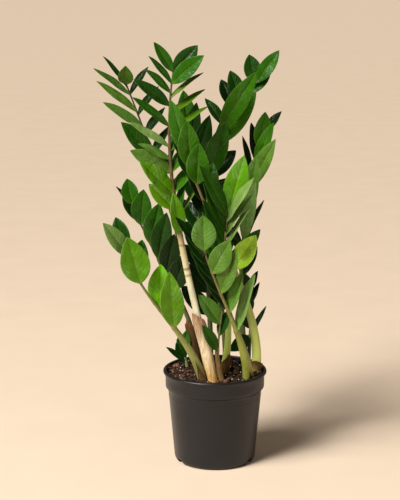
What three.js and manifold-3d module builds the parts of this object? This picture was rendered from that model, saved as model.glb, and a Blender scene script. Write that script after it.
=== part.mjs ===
// A potted ZZ plant: arching fronds with two ranks of glossy leaflets, standing in the
// bark soil of a black nursery pot.
//
// Millimetres, +Z up. The origin is the middle of the pot's underside, +X is to the right
// and -Y is the plant's front. Every frond is one body: its stem with the leaflets grown
// onto it. The stems stand in plain blind holes in the soil.

import * as THREE from 'three';
import { mergeVertices } from 'three/addons/utils/BufferGeometryUtils.js';
import Module from 'manifold-3d';

const wasm = await Module();
wasm.setup();

// ---------------------------------------------------------------- driving dimensions

const GAP = 0.35;                  // running gap between neighbouring bodies
const WELD = 1e-3;                 // points of one body this close are one point

const POT = {
  height: 135,
  lipRadius: 75,                   // a pot sold as 15 cm
  lipHeight: 5.2,
  lipEdge: 1.5,                    // chamfer along the lip
  bandRadius: 71.5,                // upright band below the lip
  bandFoot: 110,
  wallTop: 108,
  wallTopRadius: 68,
  wallFootRadius: 58.7,
  cornerHeight: 6,                 // rounded corner between the wall and the underside
  footRadius: 54.4,
  wall: 1.8,
  floor: 2.2,
  sides: 36,
};
const NOTCH = { count: 3, width: 14, height: 6.5, below: 4, radii: [48, 64], firstAngle: -150 };
const DRAIN = { count: 6, radius: 4, ring: 34, sides: 8 };

const SOIL = {
  level: 128.5,
  heap: 3.2,                       // the surface is heaped at the back left
  heapAngle: 130,
  roughness: 1.5,
  ease: 0.5,                       // room to the flat facets of the pot's wall
  sides: 32,
  rings: [63, 55, 47, 38, 29, 20, 10],
};
// Big bark chips on the surface. ragged is the share that a corner moves in or out.
const CHIP = {
  count: 6,
  ring: 58,
  length: [9, 17],
  slimness: [0.3, 0.54],
  height: [2.6, 4.6],
  ragged: 0.25,
  tilt: 0.35,
};

const STEM = {
  sides: 6,
  rings: 8,
  shoulder: 0.4,                   // place of the second girth
  sink: 15,                        // depth of the buried end
  taper: 0.72,                     // of the foot's girth is left at the buried end
};
const HOLE = { below: 0.4, above: 16, flare: 0.6 };
const BLADE = {
  thickness: 1.3,                  // at the midrib; it thins towards the edges
  rib: 1.2,                        // extra thickness where the blade joins the stem
  ribFade: 8,                      // exponent by which it fades along the blade
  neck: 1.5,                       // half width of the leaf stalk
  stations: [0, 0.15, 0.37, 0.61, 0.83],
  fold: 13,                        // degrees each half rises from the midrib
  curl: 0.07,                      // the tip bends back by this share of the length
  fullness: [0.78, 0.88],          // outline exponents at the root and at the tip
};
const SEARCH = { step: 3.2, tries: 46, clearance: 0.75, freeNeck: 0.27 };
const SCATTER = { lean: 3, fore: 6, roll: 9, length: 0.05 };

const GOLDEN = Math.PI * (3 - Math.sqrt(5));
const DEG = Math.PI / 180;

const COLOURS = {
  pot: { color: 0x2c2c2e, roughness: 0.55 },
  soil: { color: 0x3a2418, roughness: 0.95 },
  leaf: { color: 0x2e6b1c, roughness: 0.35 },
  husk: { color: 0xc9a070, roughness: 0.8 },
};

// ------------------------------------------------------------------------- the fronds
//
// through: four points that the stem passes, at 0, 1/3, 2/3 and all of its length.
// girth:   stem radius at the foot, at the shoulder (0.4 of the length) and at the tip.
// ranks:   rows of leaflets up one side of the stem. Each pair of values belongs to the
//          lowest and the highest leaflet. lean is the angle from upright towards +X, fore
//          the angle towards the front (-Y), roll the turn about the leaflet's midrib.
// single:  single leaflets: [place on the stem, lean, fore, roll, length, width].

const FRONDS = [
  {
    name: 'frond_front_left',
    through: [[-18, -30, 127], [-52, -56, 203], [-94, -80, 266], [-120, -98, 333]],
    girth: [7, 3.2, 1.2],
    ranks: [],
    single: [
      [0.75, -12, 29, 4, 81, 41], [0.38, -3, 32, 2, 103, 34], [0.53, 1, 0, -8, 64, 35],
      [0.95, -32, 22, 30, 63, 24], [0.99, -22, -14, -14, 48, 26], [0.8, 8, -16, 0, 52, 26],
    ],
  },
  {
    name: 'frond_front_tall',
    through: [[-3, -36, 129], [-37, -40, 277], [-61, -36, 424], [-58, -16, 568]],
    girth: [5.2, 4.4, 1.3],
    ranks: [
      { count: 3, span: [0.8, 0.91], lean: [55, 52], fore: [-22, -14], roll: [-60, -64],
        length: [69, 57], width: [16, 17] },
      { count: 3, span: [0.61, 0.74], lean: [36, 28], fore: [-22, -24], roll: [-40, -40],
        length: [58, 48], width: [23, 20] },
    ],
    single: [
      [0.475, -6, 24, 30, 69, 24], [0.992, -31, 10, 20, 49, 17], [0.99, 42, 2, -8, 50, 26],
      [0.955, 47, 14, -18, 60, 25], [0.955, -36, 12, 56, 50, 15], [0.925, -43, 14, 54, 49, 16],
      [0.885, -50, 16, 38, 63, 21], [0.82, -47, 17, 48, 67, 16], [0.755, -53, 19, 56, 69, 16],
      [0.715, -57, 20, 56, 52, 16], [0.675, -57, 21, 30, 68, 27], [0.605, -40, 24, 34, 72, 28],
      [0.555, -46, -16, 30, 54, 26], [0.53, 10, -10, -50, 57, 18], [0.52, 28, -16, -70, 64, 15],
    ],
  },
  {
    name: 'frond_front_right',
    through: [[48, -23, 128], [31, -52, 202], [5, -76, 270], [-16, -88, 330]],
    girth: [8.2, 3.4, 1.2],
    ranks: [
      { count: 4, span: [0.5, 0.86], lean: [-33, -38], fore: [-14, -8], roll: [52, 50],
        length: [62, 53], width: [24, 22] },
    ],
    single: [
      [0.35, 12, 20, -58, 96, 26], [0.49, 13, 22, -48, 68, 24], [0.64, 15, 24, -28, 77, 29],
      [0.8, 24, 24, -14, 60, 31], [0.99, -2, 10, 6, 50, 35], [0.95, -36, 4, 50, 67, 20],
      [0.965, -16, -8, 20, 48, 26],
    ],
  },
  {
    name: 'frond_centre',
    through: [[12, 3, 129], [19, -8, 213], [14, -26, 296], [19, -46, 376]],
    girth: [6, 3.4, 1.3],
    ranks: [
      { count: 5, span: [0.6, 0.96], lean: [-19, -23], fore: [12, 24], roll: [42, 36],
        length: [71, 93], width: [24, 25] },
      { count: 3, span: [0.76, 0.93], lean: [24, 24], fore: [24, 34], roll: [-74, -70],
        length: [76, 95], width: [20, 21] },
    ],
    single: [[0.99, 13, 16, -14, 86, 35]],
  },
  {
    name: 'frond_leaning',
    through: [[58, 8, 127], [45, -4, 234], [-3, -30, 355], [-38, -62, 458]],
    girth: [7.4, 4.6, 1.3],
    ranks: [
      { count: 4, span: [0.66, 0.95], lean: [-38, -35], fore: [-22, -14], roll: [42, 32],
        length: [57, 38], width: [22, 18] },
    ],
    single: [
      [0.985, -17, 14, -6, 82, 27], [0.475, 30, 16, -14, 62, 32], [0.92, -5, 28, -4, 75, 32],
      [0.84, 2, 34, -6, 72, 33], [0.75, 12, -18, -8, 60, 28], [0.66, 14, -20, -10, 62, 28],
      [0.49, 37, -12, -34, 66, 24],
    ],
  },
  {
    name: 'frond_right_tall',
    through: [[16, 26, 130], [0, 44, 268], [-11, 46, 411], [61, 34, 548]],
    girth: [5, 3.2, 1.3],
    ranks: [
      { count: 3, span: [0.46, 0.64], lean: [-36, -34], fore: [-24, -24], roll: [16, 14],
        length: [68, 60], width: [28, 27] },
      { count: 3, span: [0.46, 0.66], lean: [38, 44], fore: [20, 6], roll: [-20, -20],
        length: [68, 58], width: [28, 27] },
    ],
    single: [
      [0.992, 34, 6, -18, 56, 22], [0.83, 30, 22, 0, 100, 31], [0.77, 38, -8, 0, 100, 34],
      [0.66, 18, 20, 8, 90, 33], [0.95, 47, -10, -24, 51, 26], [0.99, -12, -8, 8, 42, 26],
      [0.93, -17, -13, 20, 45, 24], [0.9, -22, -19, 28, 47, 24], [0.84, -32, -24, 42, 50, 20],
    ],
  },
  {
    name: 'frond_right',
    through: [[46, 44, 133], [39, 58, 241], [47, 62, 358], [74, 60, 475]],
    girth: [5, 3, 1.2],
    ranks: [],
    single: [
      [0.92, 7, 14, 8, 56, 27], [0.985, 34, -8, -50, 40, 18], [0.85, 18, 22, -34, 74, 22],
      [0.76, 22, 28, -28, 90, 26], [0.65, 6, 30, -24, 104, 28], [0.54, 7, 28, -36, 104, 27],
      [0.51, 21, -6, -68, 76, 17], [0.86, -5, -12, 38, 60, 21], [0.76, -6, -20, 54, 78, 19],
      [0.385, 20, -4, -40, 50, 25], [0.5, -30, 30, 48, 62, 24],
    ],
  },
  {
    name: 'frond_back_left',
    through: [[-12, 12, 129], [-38, 34, 258], [-77, 62, 396], [-130, 92, 540]],
    girth: [4.6, 2.8, 1.3],
    ranks: [
      { count: 4, span: [0.76, 0.962], lean: [29, 31], fore: [-26, -16], roll: [-52, -52],
        length: [58, 50], width: [20, 18] },
      { count: 2, span: [0.6, 0.68], lean: [22, 24], fore: [-34, -30], roll: [-48, -48],
        length: [56, 56], width: [22, 21] },
    ],
    single: [
      [0.995, 2, 52, 0, 44, 23], [0.985, -34, 4, 64, 57, 13], [0.96, -42, 24, 56, 70, 14],
      [0.905, -48, 15, 48, 75, 16], [0.855, -53, 18, 42, 70, 18], [0.76, -39, 20, 26, 71, 27],
      [0.66, -22, 24, 26, 58, 25],
    ],
  },
  {
    name: 'frond_left',
    through: [[-25, 37, 128], [-44, 40, 212], [-81, 34, 288], [-119, 24, 375]],
    girth: [4.8, 2.8, 1.2],
    ranks: [
      { count: 2, span: [0.46, 0.6], lean: [-4, -6], fore: [-44, -40], roll: [16, 20],
        length: [58, 52], width: [27, 25] },
    ],
    single: [
      [0.99, -12, -4, 10, 38, 25], [0.94, -34, -14, 70, 50, 17], [0.88, 4, 14, -6, 55, 31],
      [0.77, 12, 22, -8, 69, 32], [0.68, 10, 28, -10, 82, 32], [0.58, 10, 32, -14, 76, 32],
      [0.48, 15, 34, -20, 72, 32], [0.9, -34, -20, 30, 46, 20],
    ],
  },
  {
    name: 'frond_back_centre',
    through: [[-6, 48, 131], [-10, 74, 245], [-22, 90, 358], [-38, 96, 465]],
    girth: [4.4, 2.8, 1.2],
    ranks: [
      { count: 4, span: [0.2, 0.48], lean: [-44, -38], fore: [10, 6], roll: [22, 24],
        length: [62, 56], width: [29, 27] },
      { count: 6, span: [0.22, 0.64], lean: [44, 36], fore: [-28, -18], roll: [-22, -18],
        length: [66, 64], width: [30, 28] },
      { count: 3, span: [0.62, 0.84], lean: [4, 6], fore: [-58, -50], roll: [0, 0],
        length: [60, 54], width: [27, 25] },
    ],
    single: [
      [0.99, -7, 8, 0, 68, 29], [0.93, 8, 10, -16, 70, 25], [0.84, 15, 16, -8, 85, 29],
      [0.74, 16, 22, -10, 90, 28],
    ],
  },
  {
    name: 'frond_low_right',
    through: [[49, 27, 129], [52, 48, 162], [54, 66, 198], [53, 80, 233]],
    girth: [3.6, 2.2, 1.1],
    ranks: [
      { count: 3, span: [0.5, 0.9], lean: [-30, -12], fore: [14, 14], roll: [30, 20],
        length: [44, 46], width: [21, 21] },
      { count: 2, span: [0.36, 0.8], lean: [27, 21], fore: [-24, -16], roll: [-58, -50],
        length: [57, 37], width: [14, 13] },
    ],
    single: [
      [0.99, 18, 0, -50, 32, 14], [0.4, -112, 46, 20, 46, 22],
    ],
  },
  {
    name: 'frond_young_front',
    through: [[10, -39, 129], [4, -36, 163], [6, -33, 198], [10, -29, 232]],
    girth: [3, 1.9, 1.1],
    ranks: [],
    single: [
      [0.78, -33, 8, 36, 54, 26], [0.42, -26, 26, 34, 52, 18], [0.62, 20, -10, -40, 40, 20],
      [0.97, 16, -16, -30, 46, 22],
    ],
  },
  {
    name: 'frond_low_back_left',
    through: [[-41, 25, 131], [-44, 32, 141], [-48, 40, 150], [-52, 50, 160]],
    girth: [3.2, 2.4, 1.4],
    ranks: [],
    single: [
      [0.5, 7, 6, -8, 39, 17], [0.7, -8, -26, 10, 24, 15], [0.3, -26, 10, 20, 29, 18],
      [0.55, 44, -30, -20, 36, 20], [0.12, -46, 14, 60, 42, 12],
    ],
  },
];

// Papery sheaths wrapped round the foot of some stems: the share of the stem they cover,
// the angle their middle faces (0 = +X, -90 = the front), the arc they wrap and the room
// that they leave round the stem at the foot and at the mouth. point is the height of the
// mouth's tip, as a share of the sheath's length, and crest its place across the arc, from
// -0.5 to 0.5.
const SHEATHS = [
  { name: 'sheath_front_tall', frond: 'frond_front_tall', span: [0, 0.195], facing: -80,
    arc: [250, 210], room: [0.7, 3], point: 0.19, crest: -0.38 },
  { name: 'sheath_leaning', frond: 'frond_leaning', span: [0, 0.06], facing: -100,
    arc: [250, 230], room: [0.9, 1.4], point: 0.2, crest: 0 },
  { name: 'sheath_centre', frond: 'frond_centre', span: [0, 0.09], facing: -60,
    arc: [240, 150], room: [0.7, 1.3], point: 0.4, crest: 0 },
  { name: 'sheath_left', frond: 'frond_left', span: [0, 0.22], facing: -90,
    arc: [240, 190], room: [0.7, 3.6], point: 0.25, crest: -0.2 },
];
const SHEATH = {
  thickness: 0.9,
  columns: 6,
  rings: 5,
  sink: 9,
  bulge: 1.07,                     // lets its flat facets clear the stem
  narrowing: 0.5,                  // share of the arc that is lost towards the mouth
};
const SOCKET = { below: 0.5, above: 14, ease: 0.3, widening: [1.08, 1.25], sides: 12 };

// ---------------------------------------------------------------------- small helpers

const lerp = (a, b, t) => a + (b - a) * t;

// The same draw for the same number, between -1 and 1.
function scatter(seed) {
  const wave = Math.sin(seed * 12.9898) * 43758.5453;
  return 2 * (wave - Math.floor(wave)) - 1;
}

function bodyFromPoints(points, faces) {
  const geometry = new THREE.BufferGeometry();
  const flat = points.flatMap((p) => [p.x, p.y, p.z]);
  geometry.setAttribute('position', new THREE.Float32BufferAttribute(flat, 3));
  geometry.setIndex(faces);
  return geometry;
}

// Closes a stack of rings that all have the same number of points. A ring runs
// anticlockwise seen from the far end. flips names the panels whose diagonal is mirrored.
function loft(rings, flips = [], apex = null) {
  const count = rings[0].length;
  const points = rings.flat();
  const faces = [];
  for (let r = 0; r + 1 < rings.length; r += 1) {
    for (let k = 0; k < count; k += 1) {
      const a = r * count + k;
      const b = r * count + (k + 1) % count;
      const c = b + count;
      const d = a + count;
      if (flips.includes(k)) faces.push(a, b, d, b, c, d);
      else faces.push(a, b, c, a, c, d);
    }
  }
  const last = (rings.length - 1) * count;
  if (apex) {
    points.push(apex);
    for (let k = 0; k < count; k += 1) {
      faces.push(last + k, last + (k + 1) % count, points.length - 1);
    }
  } else {
    capFaces(count).forEach(([a, b, c]) => faces.push(last + a, last + b, last + c));
  }
  capFaces(count).forEach(([a, b, c]) => faces.push(a, c, b));
  return bodyFromPoints(points, faces);
}

// Zigzag triangles across a ring of points, which also suit a thin C-shaped ring.
function capFaces(count) {
  const faces = [];
  let low = 0;
  let high = count - 1;
  while (high - low > 1) {
    faces.push([low, low + 1, high]);
    if (high - low > 2) faces.push([low + 1, high - 1, high]);
    low += 1;
    high -= 1;
  }
  return faces;
}

function solidOf(geometry, weld = 1e-4) {
  const bare = geometry.clone();
  bare.deleteAttribute('normal');
  bare.deleteAttribute('uv');
  const merged = mergeVertices(bare, weld);
  return new wasm.Manifold(new wasm.Mesh({
    numProp: 3,
    vertProperties: new Float32Array(merged.attributes.position.array),
    triVerts: new Uint32Array(merged.index.array),
  }));
}

function geometryOf(solid) {
  const mesh = solid.getMesh();
  const geometry = new THREE.BufferGeometry();
  const positions = new Float32Array(mesh.vertProperties);
  geometry.setAttribute('position', new THREE.BufferAttribute(positions, 3));
  geometry.setIndex(new THREE.BufferAttribute(new Uint32Array(mesh.triVerts), 1));
  geometry.computeVertexNormals();
  return geometry;
}

// Only the outer shell of the body itself: joining can seal a tiny hollow, which this
// fills, and cutting can free a crumb, which it drops.
function largest(solid) {
  const pieces = solidOf(geometryOf(solid), WELD).decompose();
  return pieces.reduce((best, piece) => (piece.volume() > best.volume() ? piece : best));
}

// -------------------------------------------------------------------------- the stems

// The cubic through four points at 0, 1/3, 2/3 and 1.
function stemCurve(frond) {
  const [a, b, c, d] = frond.through.map((p) => new THREE.Vector3(...p));
  const near = new THREE.Vector3().addScaledVector(a, -5 / 6).addScaledVector(b, 3)
    .addScaledVector(c, -1.5).addScaledVector(d, 1 / 3);
  const far = new THREE.Vector3().addScaledVector(a, 1 / 3).addScaledVector(b, -1.5)
    .addScaledVector(c, 3).addScaledVector(d, -5 / 6);
  return new THREE.CubicBezierCurve3(a, near, far, d);
}

function stemRadius(frond, t) {
  const [foot, shoulder, tip] = frond.girth;
  if (t < STEM.shoulder) return lerp(foot, shoulder, Math.max(t, 0) / STEM.shoulder);
  return lerp(shoulder, tip, (t - STEM.shoulder) / (1 - STEM.shoulder));
}

// Point, tangent and two square directions of a stem; below its foot it runs on straight.
function stemStation(frond, t) {
  const curve = stemCurve(frond);
  const held = Math.max(t, 0);
  const along = curve.getTangent(held);
  const point = curve.getPoint(held);
  if (t < 0) point.addScaledVector(along, t * curve.getLength());
  const right = new THREE.Vector3(0, 1, 0).cross(along).normalize();
  const back = along.clone().cross(right).normalize();
  return { point, along, right, back };
}

function stemRing(frond, t, radius, sides = STEM.sides) {
  const { point, right, back } = stemStation(frond, t);
  return Array.from({ length: sides }, (_, k) => {
    const angle = (2 * Math.PI * k) / sides;
    return point.clone()
      .addScaledVector(right, radius * Math.cos(angle))
      .addScaledVector(back, radius * Math.sin(angle));
  });
}

function stemGeometry(frond) {
  const length = stemCurve(frond).getLength();
  const rings = [stemRing(frond, -STEM.sink / length, STEM.taper * stemRadius(frond, 0))];
  for (let k = 0; k <= STEM.rings; k += 1) {
    const t = k / STEM.rings;
    rings.push(stemRing(frond, t, stemRadius(frond, t)));
  }
  return loft(rings);
}

// ------------------------------------------------------------------------- the leaves

function outline(u) {
  const [root, tip] = BLADE.fullness;
  const widest = root / (root + tip);
  const full = widest ** root * (1 - widest) ** tip;
  return (u ** root * (1 - u) ** tip) / full;
}

// The blade's own directions: d along the midrib, n out of its upper face, s to its side.
function bladeFrame(leaf) {
  const lean = leaf.lean * DEG;
  const fore = leaf.fore * DEG;
  const d = new THREE.Vector3(
    Math.sin(lean) * Math.cos(fore), -Math.sin(fore), Math.cos(lean) * Math.cos(fore));
  const n = new THREE.Vector3(0, -1, 0).addScaledVector(d, d.y).normalize();
  n.applyAxisAngle(d, leaf.roll * DEG);
  return { d, n, s: d.clone().cross(n) };
}

function bladePoint(leaf, frame, u, v, lift, spread = 0) {
  const half = Math.max(BLADE.neck, (leaf.width / 2) * outline(u)) + spread;
  const fold = BLADE.fold * DEG;
  const rise = half * Math.abs(v) * Math.sin(fold) - BLADE.curl * leaf.length * u * u;
  return leaf.root.clone()
    .addScaledVector(frame.d, leaf.length * u)
    .addScaledVector(frame.n, lift + rise)
    .addScaledVector(frame.s, half * v * Math.cos(fold));
}

// margin grows the blade all round, for the room that it needs.
function bladeGeometry(leaf, margin = 0, from = 0) {
  const frame = bladeFrame(leaf);
  const stations = [from, ...BLADE.stations.filter((u) => u > from)];
  const rings = stations.map((u) => {
    const lift = (BLADE.thickness + BLADE.rib * (1 - u) ** BLADE.ribFade) / 2 + margin;
    const section = [[1, 0], [0, -lift], [-1, 0], [0, lift]];
    return section.map(([v, height]) => bladePoint(leaf, frame, u, v, height, margin));
  });
  const apex = bladePoint(leaf, frame, 1, 0, 0);
  apex.addScaledVector(frame.d, margin);
  return loft(rings, [0, 2], apex);
}

// A rank's leaflets from its lowest to its highest.
function rankLeaves(rank) {
  return Array.from({ length: rank.count }, (_, k) => {
    const share = rank.count > 1 ? k / (rank.count - 1) : 0;
    const value = (pair) => lerp(pair[0], pair[1], share);
    return {
      t: value(rank.span), lean: value(rank.lean), fore: value(rank.fore), roll: value(rank.roll),
      length: value(rank.length), width: value(rank.width), loose: true,
    };
  });
}

// A frond's leaflets. Those in a rank each get small draws of their own.
function frondLeaves(frond, index) {
  const ranked = frond.ranks.flatMap(rankLeaves);
  const single = frond.single.map(([t, lean, fore, roll, length, width]) => (
    { t, lean, fore, roll, length, width, loose: false }));
  return [...single, ...ranked].map((leaf, k) => {
    const draw = (n) => (leaf.loose ? scatter(index * 97 + k * 7 + n) : 0);
    return {
      ...leaf,
      root: stemCurve(frond).getPoint(leaf.t),
      lean: leaf.lean + SCATTER.lean * draw(1),
      fore: leaf.fore + SCATTER.fore * draw(2),
      roll: leaf.roll + SCATTER.roll * draw(3),
      length: leaf.length * (1 + SCATTER.length * draw(4)),
    };
  });
}

// The k-th swing of a leaflet that is in another's way, on a sunflower spiral.
function swing(leaf, k) {
  const reach = SEARCH.step * Math.sqrt(k);
  return {
    ...leaf,
    lean: leaf.lean + reach * Math.cos(k * GOLDEN),
    fore: leaf.fore + reach * Math.sin(k * GOLDEN),
  };
}

// ------------------------------------------------------------- growing the whole plant

// A body with its box, which spares most of the tests for crossings.
function standing(geometry) {
  geometry.computeBoundingBox();
  return { box: geometry.boundingBox, solid: solidOf(geometry) };
}

function meets(body, others) {
  return others.some((other) => (
    body.box.intersectsBox(other.box) && !body.solid.intersect(other.solid).isEmpty()));
}

// The first swing of a leaflet that keeps clear of all that stands, its root aside, and
// whose root keeps out of the other fronds.
function freeBlade(leaf, taken, foreign) {
  for (let k = 0; k < SEARCH.tries; k += 1) {
    const trial = swing(leaf, k);
    const room = standing(bladeGeometry(trial, SEARCH.clearance / 2, SEARCH.freeNeck));
    const blade = standing(bladeGeometry(trial));
    if (!meets(room, taken) && !meets(blade, foreign)) return blade;
  }
  return null;
}

// Every stem and sheath stands first, then the leaflets take their places one by one. A
// leaflet with no free place is left off.
function growPlant() {
  const fronds = FRONDS.map((frond) => (
    { frond, stem: standing(stemGeometry(frond)), blades: [] }));
  const sheaths = SHEATHS.map((sheath) => standing(sheathGeometry(sheath)));
  const taken = [...fronds.map(({ stem }) => stem), ...sheaths];
  fronds.forEach((grown, index) => {
    frondLeaves(grown.frond, index).forEach((leaf) => {
      const others = fronds.filter((other) => other !== grown);
      const foreign = [...sheaths, ...others.flatMap(({ stem, blades }) => [stem, ...blades])];
      const blade = freeBlade(leaf, taken, foreign);
      if (!blade) return;
      grown.blades.push(blade);
      taken.push(blade);
    });
  });
  return fronds;
}

// ------------------------------------------------------------------------ the sheaths

function sheathGeometry(sheath) {
  const frond = FRONDS.find((one) => one.name === sheath.frond);
  const length = stemCurve(frond).getLength();
  const [start, end] = sheath.span;
  const levels = [-SHEATH.sink / length];
  for (let k = 0; k < SHEATH.rings; k += 1) levels.push(lerp(start, end, k / (SHEATH.rings - 1)));
  const rings = levels.map((t) => {
    const share = Math.max(0, (t - start) / (end - start));
    const inner = stemRadius(frond, t) * SHEATH.bulge + lerp(...sheath.room, share);
    const arc = lerp(...sheath.arc, share) * (1 - SHEATH.narrowing * share ** 4) * DEG;
    const { point, along, right, back } = stemStation(frond, t);
    const facing = sheath.facing * DEG;
    const rim = (radius, k) => {
      const offset = k / SHEATH.columns - 0.5;
      const angle = facing + arc * offset;
      const height = sheath.point * (end - start) * length * share ** 3;
      const away = Math.abs(offset - sheath.crest) / (0.5 + Math.abs(sheath.crest));
      return point.clone()
        .addScaledVector(right, radius * Math.cos(angle))
        .addScaledVector(back, radius * Math.sin(angle))
        .addScaledVector(along, height * (1 - away));
    };
    const columns = Array.from({ length: SHEATH.columns + 1 }, (_, k) => k);
    const outer = columns.map((k) => rim(inner + SHEATH.thickness, k));
    const lining = columns.map((k) => rim(inner, SHEATH.columns - k));
    return [...outer, ...lining];
  });
  return loft(rings);
}

// The room that a sheath's foot takes in the soil.
function sheathSocket(sheath) {
  const frond = FRONDS.find((one) => one.name === sheath.frond);
  const length = stemCurve(frond).getLength();
  const skin = stemRadius(frond, 0) * SHEATH.bulge + sheath.room[0] + SHEATH.thickness;
  const [narrow, wide] = SOCKET.widening.map((share) => share * (skin + GAP + SOCKET.ease));
  return loft([
    stemRing(frond, -(SHEATH.sink + SOCKET.below) / length, narrow, SOCKET.sides),
    stemRing(frond, SOCKET.above / length, wide, SOCKET.sides),
  ]);
}

// ---------------------------------------------------------------------------- the pot

function potProfile() {
  const p = POT;
  const lipFoot = p.height - p.lipHeight;
  const cornerMiddle = lerp(p.footRadius, p.wallFootRadius, 0.6);
  return [
    [0, 0], [p.footRadius, 0], [cornerMiddle, 0.27 * p.cornerHeight],
    [p.wallFootRadius, p.cornerHeight], [p.wallTopRadius, p.wallTop],
    [p.bandRadius, p.bandFoot], [p.bandRadius, lipFoot],
    [p.lipRadius - p.lipEdge, lipFoot], [p.lipRadius, lipFoot + p.lipEdge],
    [p.lipRadius, p.height - p.lipEdge], [p.lipRadius - p.lipEdge, p.height],
    [p.bandRadius, p.height], [p.bandRadius - p.wall, p.height - 2 * p.lipEdge],
    [p.bandRadius - p.wall, p.bandFoot + p.wall / 2],
    [p.wallTopRadius - p.wall, p.wallTop - p.wall / 2],
    [p.wallFootRadius - p.wall, p.cornerHeight],
    [p.footRadius - p.wall / 2, p.floor], [0, p.floor],
  ];
}

function latheZ(profile, sides) {
  const points = profile.map(([r, z]) => new THREE.Vector2(r, z));
  const geometry = new THREE.LatheGeometry(points, sides);
  geometry.rotateX(Math.PI / 2);
  return geometry;
}

// A vent through the corner between the wall and the floor.
function notchCut(k) {
  const [inner, outer] = NOTCH.radii;
  const cut = new THREE.BoxGeometry(outer - inner, NOTCH.width, NOTCH.height + NOTCH.below);
  cut.translate((inner + outer) / 2, 0, (NOTCH.height - NOTCH.below) / 2);
  cut.rotateZ((NOTCH.firstAngle + k * (360 / NOTCH.count)) * DEG);
  return cut;
}

function drainBore(k) {
  const angle = ((k + 0.5) / DRAIN.count) * 2 * Math.PI;
  const bore = new THREE.CylinderGeometry(DRAIN.radius, DRAIN.radius, 4 * POT.floor, DRAIN.sides);
  bore.rotateX(Math.PI / 2);
  bore.translate(DRAIN.ring * Math.cos(angle), DRAIN.ring * Math.sin(angle), 0);
  return bore;
}

function potGeometry() {
  let pot = solidOf(latheZ(potProfile(), POT.sides));
  for (let k = 0; k < NOTCH.count; k += 1) pot = pot.subtract(solidOf(notchCut(k)));
  for (let k = 0; k < DRAIN.count; k += 1) pot = pot.subtract(solidOf(drainBore(k)));
  return geometryOf(pot);
}

// --------------------------------------------------------------------------- the soil

function soilHeight(x, y) {
  const heap = SOIL.heapAngle * DEG;
  const toHeap = (x * Math.cos(heap) + y * Math.sin(heap)) / POT.bandRadius;
  const waves = Math.sin(x * 0.21 + 1.3) * Math.cos(y * 0.17 - 0.4);
  const ripple = waves + 0.6 * Math.sin(x * 0.11 - y * 0.27);
  return SOIL.level + SOIL.heap * Math.max(0, toHeap) + SOIL.roughness * ripple;
}

function soilGeometry() {
  const around = (radius, z) => Array.from({ length: SOIL.sides }, (_, k) => {
    const angle = (2 * Math.PI * k) / SOIL.sides;
    const x = radius * Math.cos(angle);
    const y = radius * Math.sin(angle);
    return new THREE.Vector3(x, y, z === null ? soilHeight(x, y) : z);
  });
  const inside = (radius) => radius - POT.wall - SOIL.ease;
  const rings = [
    around(inside(POT.footRadius), POT.floor + GAP),
    around(inside(POT.wallFootRadius), POT.cornerHeight + POT.wall),
    around(inside(POT.wallTopRadius), POT.wallTop),
    around(inside(POT.bandRadius), POT.bandFoot + POT.wall),
    around(inside(POT.bandRadius), null),
    ...SOIL.rings.map((radius) => around(radius, null)),
  ];
  const points = rings.flat();
  const faces = [];
  const count = SOIL.sides;
  for (let r = 0; r + 1 < rings.length; r += 1) {
    for (let k = 0; k < count; k += 1) {
      const a = r * count + k;
      const b = r * count + (k + 1) % count;
      faces.push(a, b, b + count, a, b + count, a + count);
    }
  }
  const last = (rings.length - 1) * count;
  points.push(new THREE.Vector3(0, 0, soilHeight(0, 0)), new THREE.Vector3(0, 0, POT.floor + GAP));
  for (let k = 0; k < count; k += 1) {
    faces.push(last + k, last + (k + 1) % count, points.length - 2);
    faces.push((k + 1) % count, k, points.length - 1);
  }
  return bodyFromPoints(points, faces);
}

// A bark chip: a ragged little slab lying half in the soil.
function chipGeometry(k) {
  const draw = (n) => scatter(100 * n + k);
  const between = (pair, n) => lerp(...pair, 0.5 + 0.5 * draw(n));
  const length = between(CHIP.length, 3);
  const width = length * between(CHIP.slimness, 4);
  const geometry = new THREE.BoxGeometry(length, width, between(CHIP.height, 5));
  const position = geometry.attributes.position;
  for (let v = 0; v < position.count; v += 1) {
    const corner = new THREE.Vector3().fromBufferAttribute(position, v);
    const key = Math.sign(corner.x) + 2 * Math.sign(corner.y) + 4 * Math.sign(corner.z);
    position.setX(v, corner.x * (1 + CHIP.ragged * draw(20 + key)));
    position.setY(v, corner.y * (1 + CHIP.ragged * draw(40 + key)));
  }
  geometry.rotateX(CHIP.tilt * draw(6));
  geometry.rotateY(CHIP.tilt * draw(7));
  geometry.rotateZ(Math.PI * draw(8));
  const radius = CHIP.ring * Math.sqrt((k + 0.5) / CHIP.count);
  const x = radius * Math.cos(k * GOLDEN);
  const y = radius * Math.sin(k * GOLDEN);
  geometry.translate(x, y, soilHeight(x, y));
  return geometry;
}

function stemHole(frond) {
  const length = stemCurve(frond).getLength();
  const foot = stemRadius(frond, 0);
  const above = HOLE.above / length;
  return loft([
    stemRing(frond, -(STEM.sink + HOLE.below) / length, STEM.taper * foot + GAP),
    stemRing(frond, 0, foot + GAP),
    stemRing(frond, above, foot + GAP + HOLE.flare),
  ]);
}

function soilBody() {
  let soil = solidOf(soilGeometry());
  for (let k = 0; k < CHIP.count; k += 1) soil = soil.add(solidOf(chipGeometry(k)));
  FRONDS.forEach((frond) => {
    soil = soil.subtract(solidOf(stemHole(frond)));
  });
  SHEATHS.forEach((sheath) => {
    soil = soil.subtract(solidOf(sheathSocket(sheath)));
  });
  return geometryOf(largest(soil));
}

// ------------------------------------------------------------------------ the assembly

function meshOf(name, geometry, look) {
  const finish = new THREE.MeshStandardMaterial({ ...COLOURS[look], metalness: 0 });
  const mesh = new THREE.Mesh(geometry, finish);
  mesh.name = name;
  return mesh;
}

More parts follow.
